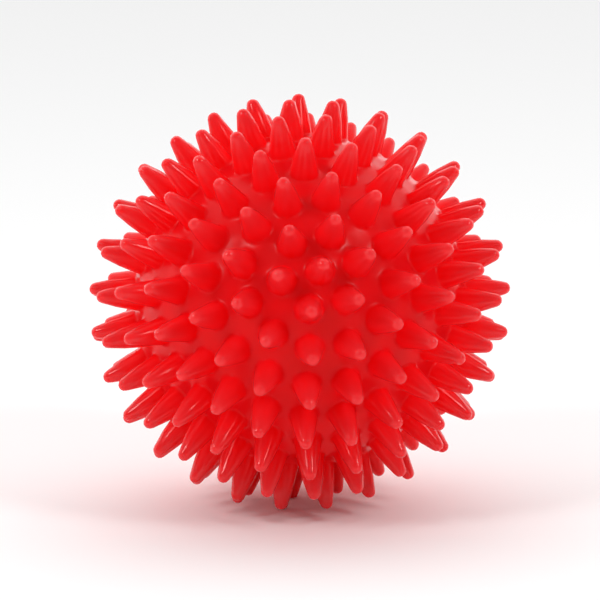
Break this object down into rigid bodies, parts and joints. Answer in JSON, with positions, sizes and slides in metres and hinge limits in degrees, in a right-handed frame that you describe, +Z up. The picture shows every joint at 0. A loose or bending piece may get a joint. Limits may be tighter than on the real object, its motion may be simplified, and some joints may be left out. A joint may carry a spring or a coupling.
{
  "type": "massage ball",
  "caption": "Hollow soft-vinyl massage ball covered in blunt tapering nubs, with an air valve and its pull-out stopper set flush in the wall.",
  "frame": {"origin": "the centre of the ball, midway between the tips of opposite nubs", "axes": "+Z is up as the ball lies in use, -Y is the front; the moulding axis lies in the YZ plane and rises 20 degrees towards the front, with the valve at its back lower end"},
  "size_m": [0.0899, 0.0893, 0.0895],
  "materials": {
    "red_vinyl": "glossy, slightly translucent soft vinyl",
    "valve_rubber": "matte moulded rubber",
    "plug_vinyl": "satin moulded vinyl"
  },
  "bodies": {
    "ball": {"ball_shell": "red_vinyl", "valve_body": "valve_rubber"},
    "plug": {"valve_plug": "plug_vinyl"}
  },
  "joints": [
    {"name": "plug_pull", "type": "slide", "parent": "ball", "child": "plug", "axis": [0, 0.9397, -0.342], "range_m": [0, 0.012]}
  ]
}
